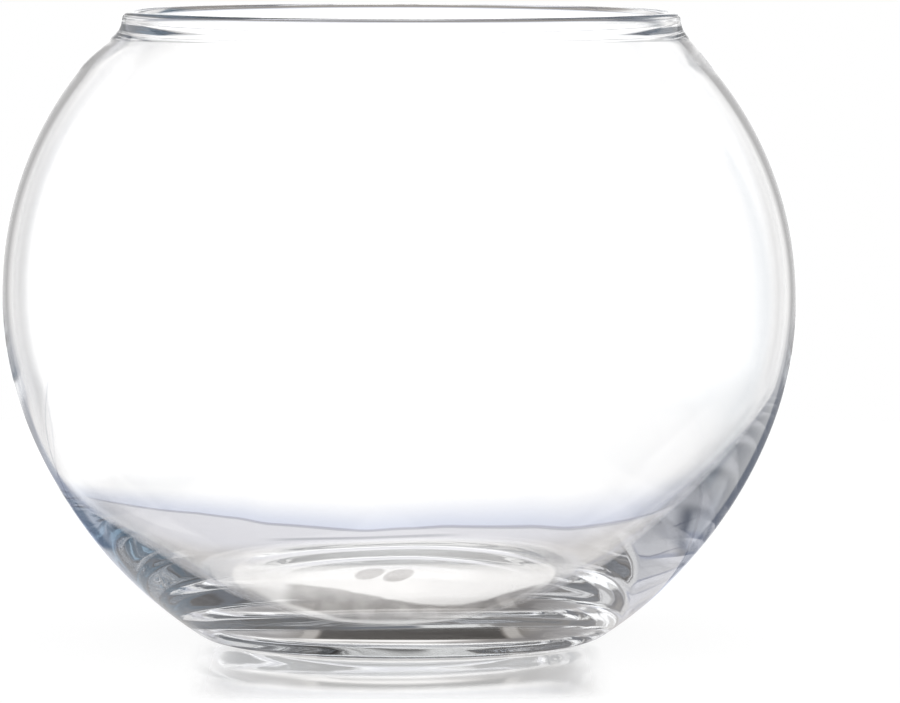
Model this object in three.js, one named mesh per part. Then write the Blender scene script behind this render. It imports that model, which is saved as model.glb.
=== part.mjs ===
// A ball vase of clear glass: one blown bowl with a short upright lip,
// a wall that thickens into a heavy base, and a shallow hollow underneath.
// Millimetres, +Z up. The origin is the centre of the ring that the bowl stands on.

import * as THREE from 'three';

// Overall form
const height = 150;
const bellyRadius = 95;
const bellyHeight = 82;

// Lip: the fire-polished edge, which stands straight up on the sloping shoulder,
// by its inset inside the belly
const lipInset = 28.2;
const lipRadius = bellyRadius - lipInset;
const lipWidth = 3.6;
const lipHeight = 4;

// Outside under the belly: as round as the shoulder at first, then a flatter heel that
// comes in by the foot's inset
const underBellyRadius = 86.7;
const heelDrop = 32.8;
const footInset = 47.7;
const footRadius = bellyRadius - footInset;
const footEdgeRadius = 6;

// Glass: an even wall above. Under the belly the inside is rounder than the outside by the
// growth, so the wall thickens all the way down to a heavy level floor, whose corner
// stays a little inside the foot's.
const wall = 2.3;
const wallGrowth = 8.4;
const innerHeelDrop = 51.3;
const floorInset = 2.7;
const floorRadius = footRadius - floorInset;
const floorEdgeRadius = 14;
const floorThickness = 7.6;

// Underside
const restingRingWidth = 4.5;
const puntDepth = 2;

// Facets
const turnSteps = 80;
const shoulderSteps = 11;
const underBellySteps = 5;
const heelSteps = 7;
const edgeSteps = 3;
const lipSteps = 8;
const innerShoulderSteps = 10;
const innerUnderBellySteps = 7;
const innerHeelSteps = 3;
const floorEdgeSteps = 4;
const puntSteps = 5;

// Angles are measured in the profile plane from the outward direction, + is up.
const angleAt = (centre, point) => Math.atan2(point.y - centre.y, point.x - centre.x);

// The points of an arc from one angle to another. The first is left out,
// because the stretch before it ends there.
function arc(centre, radius, from, to, steps) {
  return Array.from({ length: steps }, (_, i) => {
    const angle = from + ((to - from) * (i + 1)) / steps;
    return new THREE.Vector2(
      centre.x + radius * Math.cos(angle),
      centre.y + radius * Math.sin(angle),
    );
  });
}

// The radius of a cap that rises by rise over a half width
const capRadius = (halfWidth, rise) => (halfWidth ** 2 + rise ** 2) / (2 * rise);

// One face of the glass under the belly. It is upright at the belly, then runs into a flatter
// heel that would meet the level face at faceRadius, and a fillet takes the last corner.
function underBelly(bellyPoint, radius, drop, faceRadius, faceHeight, edgeRadius) {
  const centre = new THREE.Vector2(bellyPoint.x - radius, bellyPoint.y);
  const outward = new THREE.Vector2(Math.sqrt(radius ** 2 - drop ** 2), -drop).normalize();
  const heelStart = centre.clone().addScaledVector(outward, radius);
  const heelSpan = new THREE.Vector2(faceRadius, faceHeight).sub(heelStart);
  const heelRadius = -heelSpan.lengthSq() / (2 * outward.dot(heelSpan));
  const heelCentre = heelStart.clone().addScaledVector(outward, -heelRadius);

  const edgeHeight = faceHeight + edgeRadius;
  const edgeReach = heelRadius - edgeRadius;
  const edgeCentre = new THREE.Vector2(
    heelCentre.x + Math.sqrt(edgeReach ** 2 - (heelCentre.y - edgeHeight) ** 2),
    edgeHeight,
  );
  return {
    centre,
    radius,
    heelAngle: angleAt(centre, heelStart),
    heelCentre,
    heelRadius,
    edgeAngle: angleAt(heelCentre, edgeCentre),
    edgeCentre,
    edgeRadius,
  };
}

// Shoulder: upright at the belly, and it ends where the lip begins
const shoulderRise = height - lipHeight - bellyHeight;
const shoulderRadius = capRadius(shoulderRise, bellyRadius - lipRadius);
const shoulderCentre = new THREE.Vector2(bellyRadius - shoulderRadius, bellyHeight);

// Under the belly, outside: down to the resting ring
const outer = underBelly(
  new THREE.Vector2(bellyRadius, bellyHeight),
  underBellyRadius,
  heelDrop,
  footRadius,
  0,
  footEdgeRadius,
);

// Under the belly, inside: down to the floor
const inner = underBelly(
  new THREE.Vector2(bellyRadius - wall, bellyHeight),
  underBellyRadius - wallGrowth,
  innerHeelDrop,
  floorRadius,
  floorThickness,
  floorEdgeRadius,
);

// Lip: straight inside and outside, with a half-round top
const lipTopRadius = lipWidth / 2;
const lipCentre = new THREE.Vector2(lipRadius - lipTopRadius, height - lipTopRadius);

// Inside of the shoulder: one wall within it, up to the inside of the lip
const innerShoulderRadius = shoulderRadius - wall;
const lipInnerRadius = lipRadius - lipWidth;
const innerReach = lipInnerRadius - shoulderCentre.x;
const innerShoulderTop = new THREE.Vector2(
  lipInnerRadius,
  bellyHeight + Math.sqrt(innerShoulderRadius ** 2 - innerReach ** 2),
);

// Punt: a shallow dome inside the resting ring
const puntRadius = outer.edgeCentre.x - restingRingWidth;
const puntCurveRadius = capRadius(puntRadius, puntDepth);
const puntCentre = new THREE.Vector2(0, puntDepth - puntCurveRadius);

const down = -Math.PI / 2;

// Half the section, from the axis underneath, round the outside and back to the
// axis on the floor
function bowlProfile() {
  const puntTop = new THREE.Vector2(0, puntDepth);
  const puntEdgeAngle = angleAt(puntCentre, new THREE.Vector2(puntRadius, 0));
  const shoulderEnd = new THREE.Vector2(lipRadius, height - lipHeight);
  const shoulderAngle = angleAt(shoulderCentre, shoulderEnd);
  const innerTopAngle = angleAt(shoulderCentre, innerShoulderTop);

  return [
    puntTop,
    ...arc(puntCentre, puntCurveRadius, -down, puntEdgeAngle, puntSteps),
    new THREE.Vector2(outer.edgeCentre.x, 0),
    ...arc(outer.edgeCentre, outer.edgeRadius, down, outer.edgeAngle, edgeSteps),
    ...arc(outer.heelCentre, outer.heelRadius, outer.edgeAngle, outer.heelAngle, heelSteps),
    ...arc(outer.centre, outer.radius, outer.heelAngle, 0, underBellySteps),
    ...arc(shoulderCentre, shoulderRadius, 0, shoulderAngle, shoulderSteps),
    new THREE.Vector2(lipRadius, lipCentre.y),
    ...arc(lipCentre, lipTopRadius, 0, Math.PI, lipSteps),
    innerShoulderTop,
    ...arc(shoulderCentre, innerShoulderRadius, innerTopAngle, 0, innerShoulderSteps),
    ...arc(inner.centre, inner.radius, 0, inner.heelAngle, innerUnderBellySteps),
    ...arc(inner.heelCentre, inner.heelRadius, inner.heelAngle, inner.edgeAngle, innerHeelSteps),
    ...arc(inner.edgeCentre, inner.edgeRadius, inner.edgeAngle, down, floorEdgeSteps),
    new THREE.Vector2(0, floorThickness),
  ];
}

const clearGlass = new THREE.MeshStandardMaterial({
  color: 0xf4f7f8,
  roughness: 0.03,
  metalness: 0,
  transparent: true,
  opacity: 0.35,
});

// The lathe turns round Y, so the solid is stood up on Z.
function glassBowl() {
  const geometry = new THREE.LatheGeometry(bowlProfile(), turnSteps);
  geometry.rotateX(Math.PI / 2);
  const mesh = new THREE.Mesh(geometry, clearGlass);
  mesh.name = 'glass_bowl';
  return mesh;
}

const vase = new THREE.Group();
vase.add(glassBowl());

export default vase;
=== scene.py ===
# %% [markdown]
# # A ball vase of clear glass
#
# Clear glass has no colour of its own to paint. What the eye sees is the room, bent by the
# glass, so three things have to be right: the thickness of the wall everywhere, the small
# unevenness that blowing leaves, and the light that surrounds the vase.
# The solid part is loaded first as a fixed frame, and the height and the belly below follow it.

# %% Load the fixed frame
import math

import bpy
import numpy as np
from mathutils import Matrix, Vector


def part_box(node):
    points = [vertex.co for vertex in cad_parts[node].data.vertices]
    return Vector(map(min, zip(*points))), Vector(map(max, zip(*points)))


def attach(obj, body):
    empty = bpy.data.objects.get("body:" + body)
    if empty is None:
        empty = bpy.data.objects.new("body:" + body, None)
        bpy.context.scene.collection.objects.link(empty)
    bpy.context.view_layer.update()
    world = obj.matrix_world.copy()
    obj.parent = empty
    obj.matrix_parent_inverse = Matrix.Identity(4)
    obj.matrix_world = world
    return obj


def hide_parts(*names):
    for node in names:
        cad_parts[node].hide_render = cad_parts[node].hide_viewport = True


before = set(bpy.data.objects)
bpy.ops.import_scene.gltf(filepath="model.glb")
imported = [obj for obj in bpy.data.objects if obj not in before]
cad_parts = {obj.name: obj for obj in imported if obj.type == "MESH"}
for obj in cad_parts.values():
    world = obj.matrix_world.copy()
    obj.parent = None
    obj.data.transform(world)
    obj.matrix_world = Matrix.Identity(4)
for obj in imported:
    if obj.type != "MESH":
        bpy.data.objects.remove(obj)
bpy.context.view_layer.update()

node_low, node_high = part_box("glass_bowl")
print("frame box in mm", [round(c * 1000, 1) for c in (*node_low, *node_high)])

# %% [markdown]
# ## Sizes
#
# Lengths are metres. The height and the belly come from the frame. The rest are the sizes
# that a glassmaker would give: the lip, the foot, the wall, and the thick floor.

# %% Sizes of the bowl
MM = 0.001
HEIGHT = node_high.z
BELLY_RADIUS = node_high.x
BELLY_HEIGHT = 82 * MM
LIP_RADIUS = 66.8 * MM
LIP_WIDTH = 3.6 * MM
LIP_HEIGHT = 4 * MM
UNDER_BELLY_RADIUS = 86.7 * MM
HEEL_DROP = 32.8 * MM
FOOT_RADIUS = 47.3 * MM
FOOT_EDGE_RADIUS = 6 * MM
WALL = 2.3 * MM
WALL_GROWTH = 8.4 * MM
INNER_HEEL_DROP = 51.3 * MM
FLOOR_RADIUS = 44.6 * MM
FLOOR_EDGE_RADIUS = 14 * MM
FLOOR_THICKNESS = 7.6 * MM
RESTING_RING_WIDTH = 4.5 * MM
PUNT_DEPTH = 2 * MM
print("height", round(HEIGHT, 4), "belly radius", round(BELLY_RADIUS, 4))

# %% [markdown]
# ## The section
#
# A blown bowl is round, so half of its section says it all. The section is drawn as a chain
# of arcs, each one leaving the last smoothly: dome underneath, resting ring, heel, ball,
# shoulder, lip, and back down the inside. A subdivided cylinder would only come near this,
# and glass shows every error of curvature as a bent reflection, so the arcs are exact.

# %% Angles and arcs
DOWN = -math.pi / 2
ARC_STEP = 0.2 * MM


def angle_at(centre, point):
    """The angle of a point seen from a centre, measured from the outward direction."""
    return math.atan2(point[1] - centre[1], point[0] - centre[0])


def arc(centre, radius, start, end, step=ARC_STEP):
    """Points on a circle: centre plus radius times the cosine and sine of the angle."""
    count = max(8, round(radius * abs(end - start) / step))
    angle = np.linspace(start, end, count)
    return np.stack([centre[0] + radius * np.cos(angle), centre[1] + radius * np.sin(angle)], 1)


def straight(start, end, step=ARC_STEP):
    """Points evenly spaced from start to end."""
    start, end = np.array(start), np.array(end)
    count = max(3, round(np.hypot(*(end - start)) / step))
    return start + (end - start) * np.linspace(0, 1, count)[:, None]


print("points on a quarter of the belly", len(arc((0, 0), BELLY_RADIUS, DOWN, 0)))


# %% The circle through a cap
def cap_radius(half_width, rise):
    """A cap's circle: half width squared plus rise squared, over twice the rise."""
    return (half_width**2 + rise**2) / (2 * rise)


shoulder_radius = cap_radius(HEIGHT - LIP_HEIGHT - BELLY_HEIGHT, BELLY_RADIUS - LIP_RADIUS)
shoulder_centre = np.array([BELLY_RADIUS - shoulder_radius, BELLY_HEIGHT])
print("shoulder radius mm", round(shoulder_radius / MM, 1))


# %% Three arcs under the belly
def under_belly(belly, radius, drop, face_radius, face_height, edge_radius):
    """Three arcs from the belly down to a level face.

    Each is its centre, its radius, its first angle and its last angle.
    The first is upright at the belly. The second, the heel, leaves it smoothly at the drop and
    aims for the face: its radius is minus the span squared over twice the span along the normal.
    The third is a fillet: its centre lies its own radius over the face, and as far from the
    heel's centre as the two radii differ, so it touches both.
    """
    centre = np.array([belly[0] - radius, belly[1]])
    out = np.array([math.sqrt(radius**2 - drop**2), -drop]) / radius
    start = centre + radius * out
    span = np.array([face_radius, face_height]) - start
    heel_radius = -(span @ span) / (2 * (out @ span))
    heel = start - heel_radius * out
    reach, height = heel_radius - edge_radius, face_height + edge_radius
    edge = np.array([heel[0] + math.sqrt(reach**2 - (heel[1] - height) ** 2), height])
    leave, touch = angle_at(centre, start), angle_at(heel, edge)
    return [
        (centre, radius, 0, leave),
        (heel, heel_radius, leave, touch),
        (edge, edge_radius, touch, DOWN),
    ]


# %% The outside of the section
outer = under_belly(
    (BELLY_RADIUS, BELLY_HEIGHT), UNDER_BELLY_RADIUS, HEEL_DROP, FOOT_RADIUS, 0, FOOT_EDGE_RADIUS
)
ring_radius = outer[2][0][0]
punt_radius = ring_radius - RESTING_RING_WIDTH
punt_curve = cap_radius(punt_radius, PUNT_DEPTH)
punt_centre = np.array([0, PUNT_DEPTH - punt_curve])
lip_end = np.array([LIP_RADIUS, HEIGHT - LIP_HEIGHT])
lip_top = LIP_WIDTH / 2
lip_centre = np.array([LIP_RADIUS - lip_top, HEIGHT - lip_top])
print("heel radius mm", round(outer[1][1] / MM, 1), "resting ring mm", round(ring_radius / MM, 1))

# %% The inside of the section
inner_shoulder = shoulder_radius - WALL
inner = under_belly(
    (BELLY_RADIUS - WALL, BELLY_HEIGHT),
    UNDER_BELLY_RADIUS - WALL_GROWTH,
    INNER_HEEL_DROP,
    FLOOR_RADIUS,
    FLOOR_THICKNESS,
    FLOOR_EDGE_RADIUS,
)
lip_inside = LIP_RADIUS - LIP_WIDTH
lip_inside_height = BELLY_HEIGHT + math.sqrt(
    inner_shoulder**2 - (lip_inside - shoulder_centre[0]) ** 2
)
neck_inside = np.array([lip_inside, lip_inside_height])
print("inner heel radius mm", round(inner[1][1] / MM, 1))

# %% [markdown]
# The chain has sharp corners where the lip meets the shoulder and where the ring meets the
# dome. Molten glass rounds every corner, so the chain is walked at an even step and each
# point becomes a weighted mean of its neighbours, which melts the corners and leaves long
# arcs as they are. The two corners of the neck are melted further, because the lip is
# worked there while it is hottest. Then the line is cut to a few hundred rings, with more
# of them where it turns.

# %% The chain of arcs
chain = np.concatenate(
    [
        arc(punt_centre, punt_curve, -DOWN, angle_at(punt_centre, (punt_radius, 0))),
        straight((punt_radius, 0), (ring_radius, 0)),
        *(arc(centre, radius, end, start) for centre, radius, start, end in reversed(outer)),
        arc(shoulder_centre, shoulder_radius, 0, angle_at(shoulder_centre, lip_end)),
        straight(lip_end, (LIP_RADIUS, lip_centre[1])),
        arc(lip_centre, lip_top, 0, math.pi),
        straight((lip_inside, lip_centre[1]), (lip_inside, lip_inside_height)),
        arc(
            shoulder_centre,
            inner_shoulder,
            angle_at(shoulder_centre, (lip_inside, lip_inside_height)),
            0,
        ),
        *(arc(*piece) for piece in inner),
        straight((inner[2][0][0], FLOOR_THICKNESS), (0, FLOOR_THICKNESS)),
    ]
)
length = np.hypot(*np.diff(chain, axis=0).T).sum()
print("section length mm", round(length / MM, 1))

# %% Walk it at an even step
STEP = 0.1 * MM
SAME_PLACE = 1e-9


def walked(points, count):
    """The same line with count points at even steps of its own length."""
    gaps = np.hypot(*np.diff(points, axis=0).T)
    keep = np.concatenate([[True], gaps > SAME_PLACE])
    points = points[keep]
    along = np.concatenate([[0], np.cumsum(np.hypot(*np.diff(points, axis=0).T))])
    places = np.linspace(0, along[-1], count)
    return np.stack([np.interp(places, along, points[:, i]) for i in (0, 1)], 1)


even = walked(chain, round(length / STEP))
print("even points", len(even))

# %% Melt the corners
MELT = 0.45 * MM
NECK_MELT = 1.3 * MM
NECK_REACH = 2 * MM


def melted(points, spread):
    """Each point is the mean of its neighbours under a bell curve.

    The ends are mirrored in the axis, so the poles stay on it.
    """
    reach = math.ceil(4 * spread / STEP)
    bell = np.exp(-0.5 * (np.arange(-reach, reach + 1) * STEP / spread) ** 2)
    bell /= bell.sum()
    mirror = np.array([-1.0, 1.0])
    before, after = points[reach:0:-1], points[-2 : -reach - 2 : -1]
    padded = np.concatenate([before * mirror, points, after * mirror])
    return np.stack([np.convolve(padded[:, i], bell, "valid") for i in (0, 1)], 1)


# near_neck is 1 at a corner of the neck and fades as e to the minus distance squared.
near_neck = np.minimum(*(np.hypot(*(even - corner).T) for corner in (lip_end, neck_inside)))
near_neck = np.exp(-((near_neck / NECK_REACH) ** 2))[:, None]
soft = melted(even, MELT) * (1 - near_neck) + melted(even, NECK_MELT) * near_neck
soft[:, 1] *= HEIGHT / soft[:, 1].max()
soft[:, 1] = np.maximum(soft[:, 1], 0)
print("corners melted over mm", round(MELT / MM, 2), "neck over mm", round(NECK_MELT / MM, 2))

# %% Share out the rings
# The rings lie closer where the density is higher: 1 plus a share of the bend, which is the
# change of slope over the length. The outward direction is the tangent turned by a
# right angle.
RINGS = 236
BEND_RADIUS = 4 * MM
BEND_LIMIT, BEND_SHARE, BEND_BLUR = 3, 0.9, 21
slope = np.unwrap(np.arctan2(*np.gradient(soft, axis=0).T[::-1]))
bend = np.abs(np.gradient(slope)) / STEP
bend = np.minimum(bend * BEND_RADIUS, BEND_LIMIT)
density = 1 + BEND_SHARE * np.convolve(bend, np.ones(BEND_BLUR) / BEND_BLUR, "same")
share = np.concatenate([[0], np.cumsum((density[1:] + density[:-1]) / 2)])
steps = np.arange(len(soft))
ring_steps = np.interp(np.linspace(0, share[-1], RINGS), share, steps)
section = np.stack([np.interp(ring_steps, steps, soft[:, i]) for i in (0, 1)], 1)
section[0, 0] = section[-1, 0] = 0
tangent = np.gradient(section, axis=0)
tangent /= np.hypot(*tangent.T)[:, None]
outward = np.stack([tangent[:, 1], -tangent[:, 0]], 1)
lip_ring = int(np.argmax(section[:, 1]))
print("rings", len(section), "lip at ring", lip_ring)

# %% [markdown]
# ## The unevenness of blown glass
#
# A real bowl is never quite true. It leans by a millimetre, its lip is a little tilted and
# sits to one side, and the lower hollow lies off centre, so the glass is thicker on one side.
# Slow waves run over the inside where it sagged as it set, and they die out towards the right,
# where this bowl is smooth. Each is a smooth function of the angle round the axis and
# the height, added to the grid.

# %% The grid before it is bent
TURNS = 400
turn = np.linspace(0, 2 * math.pi, TURNS, endpoint=False)[None, :]
radius, level = section[:, :1], section[:, 1:]
inside = (np.arange(RINGS) > lip_ring)[:, None] * 1.0


def ease(value, low, high):
    """0 below low and 1 above high, with a smooth rise: t squared times 3 minus 2 t."""
    t = np.clip((value - low) / (high - low), 0, 1)
    return t * t * (3 - 2 * t)


print("grid", RINGS, "by", TURNS, "rings inside", int(inside.sum()))

# %% Slow waves on the inside
# Each wave is the cosine of: a count times the angle, plus the height over a length, plus
# a start. Their sum moves the inside along its outward direction, low down and not at the
# right.
WAVE = 0.014 * MM
WAVES = ((7, 0.011, 0.3, 1.0), (-12, 0.007, 1.9, 0.6), (19, 0.009, 4.1, 0.25))
WAVE_RADII, WAVE_LEVELS = (0.02, 0.045), (0.055, 0.09)
CALM_TURN, CALM_LEVELS = (-0.1, 0.5), (0.012, 0.026)
wave = sum(
    size * np.cos(count * turn + level / rise_length + start)
    for count, rise_length, start, size in WAVES
)
low_glass = ease(radius, *WAVE_RADII) * (1 - ease(level, *WAVE_LEVELS))
calm_right = ease(np.cos(turn), *CALM_TURN) * ease(level, *CALM_LEVELS)
wave = inside * WAVE * wave * low_glass * (1 - calm_right)
reach = radius - wave * outward[:, :1]
rise = level - wave * outward[:, 1:]
print("waves mm, highest", round(float(np.abs(wave).max()) / MM, 4))

# %% Lean, tilt and shift
# A lean widens the outline by the root of 1 plus the lean squared, so x is divided by that
# and the bowl stays in the frame's box.
LEAN = 0.0084
LIP_TILT = 0.3 * MM
LIP_SHIFT = 1.1 * MM
SHIFT_FROM, SHIFT_FULL = HEIGHT - 14 * MM, HEIGHT - 3 * MM
OFF_CENTRE = 2.0 * MM
OFF_BELOW, TRUE_ABOVE = 28 * MM, 62 * MM
rise = rise - ease(rise, BELLY_HEIGHT, HEIGHT) * LIP_TILT * (1 + np.cos(turn)) / 2
off_centre = inside * OFF_CENTRE * (1 - ease(level, OFF_BELOW, TRUE_ABOVE))
lip_shift = LIP_SHIFT * ease(rise, SHIFT_FROM, SHIFT_FULL)
lean_shift = -LEAN * (rise - BELLY_HEIGHT)
x = reach * np.cos(turn) / math.hypot(1, LEAN) + lean_shift - off_centre + lip_shift
y = reach * np.sin(turn)
z = rise + 0 * turn
print("lean mm over the height", round(LEAN * HEIGHT / MM, 2))

# %% [markdown]
# ## The mesh
#
# The grid has one row for each ring and one column for each step round the axis. The first
# and the last row lie on the axis, so each becomes a single point with a fan of triangles.

# %% Build the bowl
def bowl_mesh(name, x, y, z):
    """A closed skin from a grid of rings. Its first and last rings are single points."""
    rings, turns = x.shape
    grid = np.stack([x, y, z], 2)
    poles = grid[[0, -1]].mean(1)
    points = np.concatenate([grid[1:-1].reshape(-1, 3), poles])
    row = np.arange(rings - 3)[:, None] * turns
    here = np.arange(turns)[None, :]
    beside = (here + 1) % turns
    quads = np.stack([row + here, row + beside, row + turns + beside, row + turns + here], 2)
    first, last = (rings - 2) * turns, (rings - 2) * turns + 1
    top_row = (rings - 3) * turns
    here, beside = here[0], beside[0]
    start_fan = np.stack([np.full(turns, first), beside, here], 1)
    end_fan = np.stack([np.full(turns, last), top_row + here, top_row + beside], 1)
    faces = [*quads.reshape(-1, 4).tolist(), *start_fan.tolist(), *end_fan.tolist()]
    mesh = bpy.data.meshes.new(name)
    mesh.from_pydata(points.tolist(), [], faces)
    mesh.shade_smooth()
    mesh.update()
    piece = bpy.data.objects.new(name, mesh)
    bpy.context.scene.collection.objects.link(piece)
    return piece


bowl = bowl_mesh("blown_bowl", x, y, z)
bowl.data.calc_loop_triangles()
print("bowl triangles", len(bowl.data.loop_triangles))

# %% [markdown]
# ## Writing a material as sums
#
# Shader nodes are easier to read as arithmetic. The class below wraps one socket, so that an
# expression such as `1 - mask * 0.5` adds the Math nodes by itself. Every other node comes
# from one method, and a few helpers give soft masks and blends of colours.

# %% A small class for shader maths
class Value:
    """A socket that can be added, subtracted, multiplied and divided like a number."""

    def __init__(self, tree, socket):
        self.tree, self.socket = tree, socket

    def maths(self, operation, *others):
        """One Math node with this socket first."""
        return node(self.tree, "Math", {"operation": operation}, self, *others)

    def __add__(self, other):
        return self.maths("ADD", other)

    def __sub__(self, other):
        return self.maths("SUBTRACT", other)

    def __mul__(self, other):
        return self.maths("MULTIPLY", other)

    def __truediv__(self, other):
        return self.maths("DIVIDE", other)

    def __rsub__(self, other):
        return node(self.tree, "Math", {"operation": "SUBTRACT"}, other, self)

    def __rtruediv__(self, other):
        return node(self.tree, "Math", {"operation": "DIVIDE"}, other, self)

    __radd__, __rmul__ = __add__, __mul__

    def smooth(self, low, high, bottom=0.0, top=1.0):
        """Bottom below low and top above high, with a smooth rise between."""
        settings = {"interpolation_type": "SMOOTHSTEP"}
        return node(self.tree, "MapRange", settings, self, low, high, bottom, top)


# %% One method for any node
def feed(tree, socket, value):
    """Link a Value to a socket, or write a plain number, colour or vector into it."""
    if isinstance(value, Value):
        tree.links.new(value.socket, socket)
    else:
        socket.default_value = value


def node(tree, kind, settings, *inputs, output=0, **named):
    """Any shader node: its settings first, then the values or links of its sockets."""
    made = tree.nodes.new("ShaderNode" + kind)
    for key, value in settings.items():
        setattr(made, key, value)
    sockets = [*zip(made.inputs, inputs), *((made.inputs[k], v) for k, v in named.items())]
    for socket, value in sockets:
        feed(tree, socket, value)
    return Value(tree, made.outputs[output])


def split(tree, vector):
    """The three parts of a vector."""
    return [node(tree, "SeparateXYZ", {}, vector, output=i) for i in range(3)]


# %% Colours and soft masks
COLOUR_INPUTS, COLOUR_RESULT = slice(6, 8), 2


def blend(tree, factor, low, high):
    """The colour low where the factor is 0 and the colour high where it is 1."""
    made = node(tree, "Mix", {"data_type": "RGBA"}, factor, output=COLOUR_RESULT)
    for socket, value in zip(made.socket.node.inputs[COLOUR_INPUTS], (low, high)):
        feed(tree, socket, value)
    return made


def hill(value, start, full, leave, end):
    """0 up to start, 1 from full to leave and 0 from end on, with a smooth rise and fall."""
    return value.smooth(start, full) * (1 - value.smooth(leave, end))


def window(value, low, high, soft):
    """1 between low and high and 0 outside, with edges that are soft to both sides."""
    return hill(value, low - soft, low + soft, high - soft, high + soft)


def plain(level):
    """A colour with the same level in red, green and blue."""
    return (level, level, level, 1)


# %% Rays that glass has bent
GLOSSY_RAY, TRANSMISSION_RAY = 3, 6
OBJECT_PLACE, DIRECTION = 3, 0


def through_glass(tree):
    """1 for a ray that glass bent or mirrored, 0 for the camera's own and for diffuse light."""
    bent = node(tree, "LightPath", {}, output=TRANSMISSION_RAY)
    mirrored = node(tree, "LightPath", {}, output=GLOSSY_RAY)
    return (bent + mirrored).maths("MINIMUM", 1.0)


# %% An empty material
def new_material(name):
    """An empty node material and its output node."""
    material = bpy.data.materials.new(name)
    material.use_nodes = True
    material.node_tree.nodes.clear()
    return material, material.node_tree, material.node_tree.nodes.new("ShaderNodeOutputMaterial")


# %% [markdown]
# ## Clear glass
#
# Soda glass bends light by an index of 1.52. A Principled shader with full transmission does
# that, and a Volume Absorption behind the skin takes away a little light for every
# millimetre, which is why the thick base is darker than the wall. A Glass shader would bend
# light as well, but an exported model only keeps a Principled one. The sockets that are the
# same everywhere are set as plain numbers. Only the roughness varies: fingers and washing
# leave a faint haze in places.

# %% The glass material
GLASS_INDEX = 1.52
GLASS_TINT = (0.87, 0.885, 0.90, 1)
GLASS_DEPTH = 9.0
HAZE_SCALE, HAZE_FROM, HAZE_MOST = 38.0, (0.45, 0.75), 0.012
glass, tree, output = new_material("clear_blown_glass")
place = node(tree, "TexCoord", {}, output=OBJECT_PLACE)
haze = node(tree, "TexNoise", {}, Vector=place, Scale=HAZE_SCALE, Detail=3.0)
surface = node(
    tree,
    "BsdfPrincipled",
    {},
    **{
        "Base Color": plain(1),
        "Roughness": haze.smooth(*HAZE_FROM, 0.0, HAZE_MOST),
        "IOR": GLASS_INDEX,
        "Transmission Weight": 1.0,
    },
)
depth = node(tree, "VolumeAbsorption", {}, Color=GLASS_TINT, Density=GLASS_DEPTH)
tree.links.new(surface.socket, output.inputs["Surface"])
tree.links.new(depth.socket, output.inputs["Volume"])
bowl.data.materials.append(glass)

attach(bowl, "root")
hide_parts("glass_bowl")
print("glass nodes", len(tree.nodes))

# %% [markdown]
# ## The plate that the vase stands on
#
# The vase stands near the back edge of a small white glossy plate. Over the plate's edge the
# pale table goes on, so the plate only shows where the glass bends the view: its edge is
# the thin line across the lower bowl, and the shaded ring under the foot is the dark slit.
# The camera sees the whole table as white with a faint mirror image, as in the picture.
# A modelled plate would also show beside the vase, so one flat disc does both jobs, and its
# material shows the plate only to the rays that the glass has bent, as a glow with its light
# and shade painted in.

# %% The table top
TABLE_RADIUS = 0.6
TABLE_STEPS = 256
TABLE_DROP = 0.2 * MM
mesh = bpy.data.meshes.new("table_top")
angles = np.linspace(0, 2 * math.pi, TABLE_STEPS, endpoint=False)
rim = np.stack([TABLE_RADIUS * np.cos(angles), TABLE_RADIUS * np.sin(angles), 0 * angles], 1)
mesh.from_pydata(rim.tolist(), [], [list(range(TABLE_STEPS))])
table = bpy.data.objects.new("table_top", mesh)
table.location.z = -TABLE_DROP
bpy.context.scene.collection.objects.link(table)
print("table radius mm", TABLE_RADIUS / MM)

# %% [markdown]
# A place on the plate is told by three lengths: across, to the right of the axis; along, to
# the back; and from_axis, in any direction. The back edge runs askew: along is a start plus
# a slope times across, with one bulge and one dent, because the real edge is a little wavy.
# What lies beyond the edge is see-through, so the surroundings show there.

# %% Where the plate ends
EDGE_BEHIND = 80 * MM
EDGE_SLOPE = -0.624
EDGE_LIMIT = 113 * MM
EDGE_SOFT = 0.3 * MM
BULGE, BULGE_ACROSS = 6.5 * MM, (0.003, 0.017, 0.037, 0.050)
DENT, DENT_ACROSS = 8 * MM, (-0.042, -0.032, -0.009, 0.005)
SIDE, SIDE_SOFT = 88 * MM, 4 * MM

pale, tree, output = new_material("pale_table")
seen_through = through_glass(tree)
place = node(tree, "TexCoord", {}, output=OBJECT_PLACE)
across, along, _ = split(tree, place)
from_axis = node(tree, "VectorMath", {"operation": "LENGTH"}, place, output=1)
side = across.maths("ABSOLUTE")
bulge, dent = hill(across, *BULGE_ACROSS) * BULGE, hill(across, *DENT_ACROSS) * DENT
edge_place = across * EDGE_SLOPE + bulge - dent + EDGE_BEHIND
behind = along - edge_place.maths("MINIMUM", EDGE_LIMIT)
over_edge = behind.smooth(-EDGE_SOFT, EDGE_SOFT)
beyond = over_edge.maths("MAXIMUM", side.smooth(SIDE, SIDE + SIDE_SOFT))
print("plate edge mm behind the axis", EDGE_BEHIND / MM)

# %% Beyond the plate
BEYOND_TONE = (0.62, 0.66, 0.78, 1)
EDGE_LINE = (1.6 * MM, 4.2 * MM)
EDGE_TONE_BEYOND = (0.44, 0.45, 0.53, 1)
CLEAR_BEHIND, CLEAR_SIDE = (-0.01, 0.075), (0.10, 0.14)
edge = 1 - behind.maths("ABSOLUTE").smooth(*EDGE_LINE)
clear = behind.smooth(*CLEAR_BEHIND).maths("MAXIMUM", side.smooth(*CLEAR_SIDE))
tint = blend(tree, clear, BEYOND_TONE, plain(1))
tint = blend(tree, edge, tint, EDGE_TONE_BEYOND)
away = node(tree, "BsdfTransparent", {}, tint)
print("edge line mm wide", 2 * EDGE_LINE[1] / MM)
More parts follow.
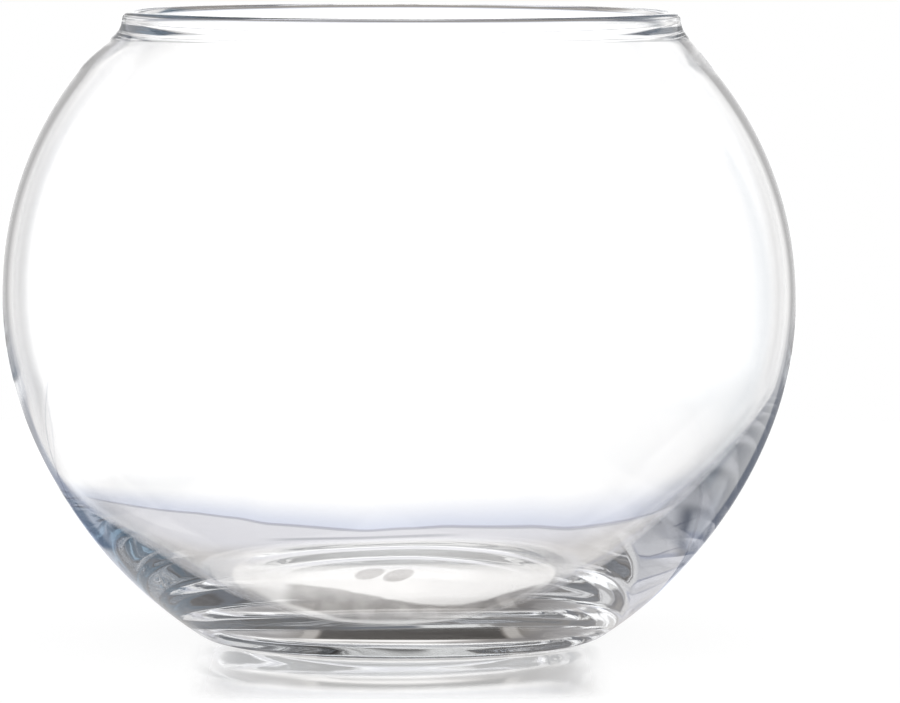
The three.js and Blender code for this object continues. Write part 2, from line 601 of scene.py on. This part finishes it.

# %% [markdown]
# The plate itself is darker in front, a painted shade where the vase shades it, and brightest
# right under the bowl, a painted pool of light. Across the front of that bright disc runs a
# band of grey streaks: noise that is stretched by its scale, kept between a lower and an upper
# border that both slant. Two small oval spots lie behind it. Each is where two scaled
# distances, squared and added, stay under one.

# %% The plate's tones, with painted shade and painted light
PLATE_FRONT_SHADE = (0.66, 0.635, 0.62, 1)
PLATE_BACK = (0.84, 0.84, 0.89, 1)
UNDER_BOWL_PAINTED_LIGHT = (1.05, 1.03, 1.01, 1)
FRONT_TO_BACK, BRIGHT_DISC = (12 * MM, 50 * MM), (38 * MM, 49 * MM)
# Painted shade in front, where the vase shades the plate.
plate = blend(tree, along.smooth(*FRONT_TO_BACK), PLATE_FRONT_SHADE, PLATE_BACK)
# A painted pool of light on the plate right under the bowl.
plate = blend(tree, 1 - from_axis.smooth(*BRIGHT_DISC), plate, UNDER_BOWL_PAINTED_LIGHT)
print("bright disc mm across", round(2 * BRIGHT_DISC[0] / MM))

# %% The band of streaks
STREAK_SCALE = (150, 70, 1)
STREAK_DARK = (0.25, 0.235, 0.225, 1)
STREAK_LIGHT = (0.45, 0.43, 0.415, 1)
BAND_ACROSS = (-0.0265, 0.0355, 0.0025)
RAGGED, TOP_BEFORE, TOP_FALL, TOP_RISE = 6 * MM, 5 * MM, 20 * MM, 13 * MM
END_BEFORE, END_FALL, END_RISE = 25 * MM, 12 * MM, 8 * MM
TOP_SOFT, END_SOFT = 1.5 * MM, 2 * MM
streaks = node(tree, "Mapping", {}, place, Scale=STREAK_SCALE)
streaks = node(tree, "TexNoise", {}, Vector=streaks, Scale=1.0, Detail=2.0)
grey = blend(tree, streaks.smooth(0.35, 0.65), STREAK_DARK, STREAK_LIGHT)
band_top = (streaks - 0.5) * RAGGED - across.smooth(-0.027, 0.012) * TOP_FALL - TOP_BEFORE
band_top = band_top + across.smooth(0.014, 0.036) * TOP_RISE
band_end = across.smooth(0.018, 0.034) * END_RISE
band_end = band_end - across.smooth(-0.028, -0.008) * END_FALL - END_BEFORE
band = (along - band_end).smooth(-END_SOFT, END_SOFT)
band = band * (1 - (along - band_top).smooth(-TOP_SOFT, TOP_SOFT))
band = band * window(across, *BAND_ACROSS)
plate = blend(tree, band, plate, grey)
print("band mm across", round((BAND_ACROSS[1] - BAND_ACROSS[0]) / MM, 1))

# %% The two oval spots
SPOTS = ((-0.0063, 0.0095), (0.0010, 0.0065))
SPOT_WIDTH, SPOT_LENGTH, SPOT_SLANT = 4.2 * MM, 8.5 * MM, 0.9
SPOT_TONE, SPOT_STRENGTH, SPOT_EDGE = (0.20, 0.165, 0.15, 1), 0.8, (0.6, 1.1)
for spot_across, spot_along in SPOTS:
    beside = across - spot_across
    ahead = (along - spot_along - beside * SPOT_SLANT) / SPOT_LENGTH
    oval = (beside / SPOT_WIDTH).maths("POWER", 2.0) + ahead.maths("POWER", 2.0)
    plate = blend(tree, (1 - oval.smooth(*SPOT_EDGE)) * SPOT_STRENGTH, plate, SPOT_TONE)
print("spots", len(SPOTS))

# %% [markdown]
# Under the foot the light can only come in from the side. There the plate has a shaded ring,
# dark in the middle and pale at its two ends, and in it a nearly black slit that stops
# at a light rim. Only the front half shows it, because the back half is lit through the
# bowl. Painted shade also darkens the two sides of the ring. Last come the edge of the plate
# and a short step in front of it.

# %% The shaded ring and the slit
FOOT_RING = (0.0402, 0.0416, 0.0495, 0.053)
FOOT_MIDDLE, FOOT_ENDS = (0.17, 0.155, 0.14, 1), (0.66, 0.655, 0.67, 1)
SLIT_RING = (0.0410, 0.0422, 0.0495, 0.0508)
SLIT_TONE, RIM_TONE = (0.014, 0.011, 0.008, 1), (0.42, 0.40, 0.38, 1)
FOOT_MIDDLE_ACROSS, SLIT_MIDDLE_ACROSS = 5 * MM, 3.2 * MM
LIT_BEHIND, FOOT_FADE = (0.012, 0.028), (0.022, 0.046)
SLIT_END, RIM_WINDOW = (0.0214, 0.0226), (0.0228, 0.0262, 0.0006)
foot = hill(from_axis, *FOOT_RING) * (1 - along.smooth(*LIT_BEHIND))
sideways = (across - FOOT_MIDDLE_ACROSS).maths("ABSOLUTE")
foot_tone = blend(tree, sideways.smooth(*FOOT_FADE), FOOT_MIDDLE, FOOT_ENDS)
slit = hill(from_axis, *SLIT_RING)
slit_reach = (across - SLIT_MIDDLE_ACROSS).maths("ABSOLUTE")
foot_tone = blend(tree, slit * window(slit_reach, *RIM_WINDOW), foot_tone, RIM_TONE)
slit = slit * (1 - slit_reach.smooth(*SLIT_END))
foot_tone = blend(tree, slit, foot_tone, SLIT_TONE)
plate = blend(tree, foot, plate, foot_tone)
print("slit ring mm", [round(r / MM, 1) for r in SLIT_RING])

# %% The painted shade at the sides of the ring, the edge and the step
RING_SIDES_SHADE, RING_SIDES_SHADE_ALONG = (0.036, 0.04, 0.05, 0.056), (-0.036, -0.030, -0.018, -0.008)
RING_SIDES_SHADE_TONE, RING_SIDES_SHADE_STRENGTH = (0.13, 0.125, 0.13, 1), 0.6
EDGE_TONE = (0.54, 0.55, 0.61, 1)
STEP_ALONG, STEP_ACROSS = 56 * MM, (-0.036, -0.026, 0.008, 0.024)
STEP_TONE, STEP_STRENGTH, STEP_WIDTH = (0.42, 0.43, 0.48, 1), 0.7, (1 * MM, 6 * MM)
# Painted shade on the two sides of the ring, where the foot's shade reaches round.
ring_sides_shade = hill(from_axis, *RING_SIDES_SHADE) * hill(along, *RING_SIDES_SHADE_ALONG)
plate = blend(tree, ring_sides_shade * RING_SIDES_SHADE_STRENGTH, plate, RING_SIDES_SHADE_TONE)
plate = blend(tree, edge, plate, EDGE_TONE)
step = 1 - (along - STEP_ALONG).maths("ABSOLUTE").smooth(*STEP_WIDTH)
step = step * hill(across, *STEP_ACROSS)
plate = blend(tree, step * STEP_STRENGTH, plate, STEP_TONE)
# The plate glows with these tones, so its light and shade are painted and no lamp lights it.
painted_plate_glow = node(tree, "Emission", {}, plate, 1.0)
through = node(tree, "MixShader", {}, beyond, painted_plate_glow, away)
print("step mm behind the axis", STEP_ALONG / MM)

# %% [markdown]
# The camera's own rays see a clean white table with a little real shade in it, and a soft
# mirror image of the foot in front of the vase, as on a glazed surface.

# %% What the camera sees of the table
CLEAN_WHITE = 1.06
SHADE_SHARE = 0.12
MIRROR_HAZE, MIRROR_STRENGTH = 0.05, 0.6
MIRROR_ALONG, MIRROR_SIDE = (-0.125, -0.1, -0.03, 0.0), (0.036, 0.05)
TABLE_LEVEL = 0.9
lit = node(tree, "BsdfDiffuse", {}, plain(TABLE_LEVEL))
clean = node(tree, "Emission", {}, plain(CLEAN_WHITE), 1.0)
white = node(tree, "MixShader", {}, SHADE_SHARE, clean, lit)
mirror = node(tree, "BsdfGlossy", {}, plain(1), MIRROR_HAZE)
polished = (1 - side.smooth(*MIRROR_SIDE)) * hill(along, *MIRROR_ALONG) * MIRROR_STRENGTH
floor = node(tree, "MixShader", {}, polished, white, mirror)
mixed = node(tree, "MixShader", {}, seen_through, floor, through)
tree.links.new(mixed.socket, output.inputs["Surface"])
table.data.materials.append(pale)
print("table nodes", len(tree.nodes))

# %% [markdown]
# ## The light
#
# Everything that is not glass gets plain even light from all round. The glass itself needs
# something to bend, so the rays that left it see a studio: a broad white screen in front, one
# low at the left, a weak one at the left side and a low one behind, with dimmer gaps
# between them. Where the wall turns edge-on it shows a gap, and that is the grey outline of
# the bowl. A studio could be built from lamps and boards, but its colours are easier to
# place as a function of the direction: azimuth, in degrees to the right of the front,
# and elevation, in degrees above the level.

# %% Directions in the surroundings
world = bpy.data.worlds.new("studio")
bpy.context.scene.world = world
world.use_nodes = True
tree = world.node_tree
tree.nodes.clear()
output = tree.nodes.new("ShaderNodeOutputWorld")
direction = node(tree, "TexCoord", {}, output=DIRECTION)
east, north, up = split(tree, direction)
flat = (east * east + north * north).maths("SQRT").maths("MAXIMUM", 0.001)
azimuth = east.maths("ARCTAN2", north) * math.degrees(1)
elevation = up.maths("ARCSINE") * math.degrees(1)
right = east.smooth(-0.1, 0.1)


def towards(degrees, outer, inner):
    """1 within the inner angle of a direction and 0 beyond the outer angle, by its cosine."""
    a = math.radians(degrees)
    cosine = (east * math.sin(a) + north * math.cos(a)) / flat
    return cosine.smooth(math.cos(math.radians(outer)), math.cos(math.radians(inner)))


print("direction nodes", len(tree.nodes))

# %% The white screens
FRONT = 0
SCREENS = (
    (FRONT, 13, 7.5, -90, 90, 1.0),
    (-45, 26, 16, -90, -20, 1.0),
    (-90, 10, 6, -13, 0, 0.22),
    (135, 34, 24, -90, -5, 1.0),
)  # direction, outer and inner angle, bottom, top, strength
SCREEN_SOFT = 3
facing = None
for degrees, outer_angle, inner_angle, bottom, top, strength in SCREENS:
    light = towards(degrees, outer_angle, inner_angle)
    light = light * window(elevation, bottom, top, SCREEN_SOFT) * strength
    facing = light if facing is None else facing.maths("MAXIMUM", light)
print("screens at", [screen[0] for screen in SCREENS])

# %% [markdown]
# Beside the front screen is a gap that is dim and, low down, blue-grey. Farther round, the
# surroundings are nearly white at the right and light grey at the left. At the far sides
# they end in a dark wall, which makes the dark wedges where the thick glass mirrors the view.

# %% The gaps and the walls
GAP_END = (25.5, 21.5)
GAP = (0.47, 0.465, 0.465, 1)
GAP_LOW_LEFT, GAP_LOW_RIGHT = (0.38, 0.41, 0.48, 1), (0.21, 0.23, 0.28, 1)
BESIDE_RIGHT = (0.97, 0.965, 0.96, 1)
BESIDE_LEFT, BESIDE_LEFT_NEAR = (0.66, 0.66, 0.69, 1), (0.84, 0.83, 0.83, 1)
NEAR_RIGHT, NEAR_LEFT, WALL_TOP = (48, 40), (80, 71), (16, 24)
WALL_RIGHT = (0.055, 0.12, 0.18, 1)
WALL_LEFT_LOW, WALL_LEFT = (0.13, 0.145, 0.18, 1), (0.27, 0.28, 0.305, 1)
deep_gap = blend(tree, right, GAP_LOW_LEFT, GAP_LOW_RIGHT)
gap = blend(tree, elevation.smooth(-14, -3), deep_gap, GAP)
left_gap = blend(tree, towards(FRONT, 60, 44), BESIDE_LEFT, BESIDE_LEFT_NEAR)
beyond_gap = blend(tree, right, left_gap, BESIDE_RIGHT)
around = blend(tree, 1 - towards(FRONT, *GAP_END), gap, beyond_gap)
near = towards(FRONT, *NEAR_RIGHT) * right + towards(FRONT, *NEAR_LEFT) * (1 - right)
far = (1 - near) * (1 - elevation.smooth(*WALL_TOP))
wall_left = blend(tree, elevation.smooth(-2, 4), WALL_LEFT_LOW, WALL_LEFT)
around = blend(tree, far, around, blend(tree, right, wall_left, WALL_RIGHT))
print("gap ends at degrees", GAP_END)

# %% Light the screens
SCREEN_WHITE, SCREEN_BRIGHT = plain(1.2), plain(1.42)
DUSK, FLOOR_TONE = (0.78, 0.83, 0.98, 1), (0.33, 0.31, 0.29, 1)
dusk = (1 - elevation.smooth(-31, -19)) * towards(FRONT, 30, 20)
screen_light = blend(tree, dusk, SCREEN_WHITE, DUSK)
screen_light = blend(tree, elevation.smooth(-11, -6), screen_light, SCREEN_BRIGHT)
around = blend(tree, facing, around, screen_light)
around = blend(tree, elevation.smooth(-34, -22), FLOOR_TONE, around)
print("screen brightness", SCREEN_BRIGHT[0])

# %% [markdown]
# Over the walls the studio goes on: dark and blue panels at the right, a paler one at the
# left, a dim ceiling, dark corners and a few bright strips. Their edges are never quite
# level in the glass, so their height is the elevation plus a slow noise.

# %% The room at the right
RIPPLE_SCALE, RIPPLE_HEIGHT = 7.0, 16
BLUE_DEEP, BLUE_BRIGHT = (0.06, 0.12, 0.18, 1), (0.30, 0.45, 0.58, 1)
BLUE_GREY = (0.40, 0.45, 0.52, 1)
SIDE_GREY, SIDE_TEAL = (0.19, 0.205, 0.235, 1), (0.085, 0.13, 0.175, 1)
NEAR_WALL = (0.14, 0.155, 0.185, 1)
ripple = node(tree, "TexNoise", {}, Vector=direction, Scale=RIPPLE_SCALE)
height = elevation + (ripple - 0.5) * RIPPLE_HEIGHT
blue = blend(tree, window(height, 14, 18, 1.5), BLUE_DEEP, BLUE_BRIGHT)
blue = blend(tree, window(height, 27, 33, 2.0), blue, BLUE_GREY)
side_panel = blend(tree, window(height, 8, 24, 2.0), SIDE_GREY, SIDE_TEAL)
room_right = blend(tree, azimuth.smooth(56, 66), NEAR_WALL, side_panel)
room_right = blend(tree, azimuth.smooth(76, 94), room_right, blue)
print("room ripple degrees", RIPPLE_HEIGHT / 2)

# %% The room at the left, and the ceiling
LEFT_DARK, LEFT_PALE = (0.20, 0.20, 0.215, 1), (0.57, 0.57, 0.60, 1)
CEILING_LEFT, CEILING_RIGHT = (0.25, 0.235, 0.225, 1), (0.13, 0.127, 0.125, 1)
CEILING_DARK, CEILING_FROM = (0.045, 0.04, 0.037, 1), (34, 44)
room_left = blend(tree, window(height, 2, 20, 2.0), LEFT_DARK, LEFT_PALE)
room = blend(tree, right, room_left, room_right)
ceiling = blend(tree, east.smooth(-0.25, 0.15), CEILING_LEFT, CEILING_RIGHT)
highest = up.smooth(0.82, 0.88) * hill(azimuth, 26, 38, 78, 96)
ceiling = blend(tree, highest, ceiling, CEILING_DARK)
room = blend(tree, elevation.smooth(*CEILING_FROM), room, ceiling)
print("ceiling from degrees", CEILING_FROM)


# %% Dark corners and bright strips
def panels(rows):
    """1 inside any of the soft-edged rectangles: left, right, bottom, top and softness."""
    found = None
    for first, last, bottom, top, soft in rows:
        panel = window(azimuth, first, last, soft) * window(elevation, bottom, top, soft)
        found = panel if found is None else found.maths("MAXIMUM", panel)
    return found


CORNERS = ((60, 108, 30, 62, 4.0), (-75, -52, 46, 60, 3.0))
STRIPS = ((-11, 4, 16, 66, 2.0), (-16, 24, 46, 80, 4.0), (35, 43, 8, 32, 2.0))
CORNER_TONE, STRIP_TONE = (0.05, 0.05, 0.055, 1), (0.95, 0.94, 0.92, 1)
room = blend(tree, panels(CORNERS), room, CORNER_TONE)
room = blend(tree, panels(STRIPS), room, STRIP_TONE)
print("corners", len(CORNERS), "strips", len(STRIPS))

# %% [markdown]
# Last, the room is put over the screens, above a border that is low in front, higher beside
# the front screen and lowest at the sides. The camera's own rays and all plain surfaces
# see white instead, so nothing but the glass takes colour from the room.

# %% Put the surroundings together
BACKDROP, BACKDROP_RISE, BACKDROP_FALL = 15, 15, 26
BORDER_SOFT = 3
off_front = azimuth.maths("ABSOLUTE")
backdrop_top = BACKDROP + off_front.smooth(22, 27) * BACKDROP_RISE
backdrop_top = backdrop_top - off_front.smooth(44, 54) * BACKDROP_FALL
above = (elevation - backdrop_top).smooth(-BORDER_SOFT, BORDER_SOFT)
surroundings = blend(tree, above, around, room)
seen = blend(tree, through_glass(tree), plain(1), surroundings)
shine = node(tree, "Background", {}, seen, 1.0)
tree.links.new(shine.socket, output.inputs["Surface"])
world.cycles.sampling_method = "NONE"
print("surroundings nodes", len(tree.nodes))

# %% [markdown]
# ## The camera
#
# The picture was taken from 1.6 m away and slightly above, with a long lens. Its length in
# millimetres is the length in pixels over the frame's width, times the sensor's width.

# %% The camera
CAMERA_DISTANCE = 1.6
CAMERA_HEIGHT = 0.1942
CAMERA_PITCH = math.radians(4.4968)
CAMERA_YAW = math.radians(0.4341)
FOCAL_PIXELS = 6702.7
FRAME_WIDTH = 900
SENSOR_WIDTH = 36
data = bpy.data.cameras.new("camera")
data.sensor_width = SENSOR_WIDTH
data.lens = FOCAL_PIXELS / FRAME_WIDTH * data.sensor_width
camera = bpy.data.objects.new("camera", data)
camera.location = (0, -CAMERA_DISTANCE, CAMERA_HEIGHT)
camera.rotation_euler = (math.pi / 2 - CAMERA_PITCH, 0, -CAMERA_YAW)
bpy.context.scene.collection.objects.link(camera)
bpy.context.scene.camera = camera
print("lens mm", round(data.lens, 1))

# %% [markdown]
# A ray can pass dozens of faces in the thick base before it leaves, so it is given many
# bounces. With fewer it would end black, and the base would be darker than glass is.

# %% Bounces and the view transform
MANY_BOUNCES, CLEAR_BOUNCES = 256, 16
scene = bpy.context.scene
scene.view_settings.view_transform = "Standard"
scene.cycles.max_bounces = MANY_BOUNCES
scene.cycles.transmission_bounces = MANY_BOUNCES
scene.cycles.glossy_bounces = MANY_BOUNCES
scene.cycles.transparent_max_bounces = CLEAR_BOUNCES
print("bounces", MANY_BOUNCES)
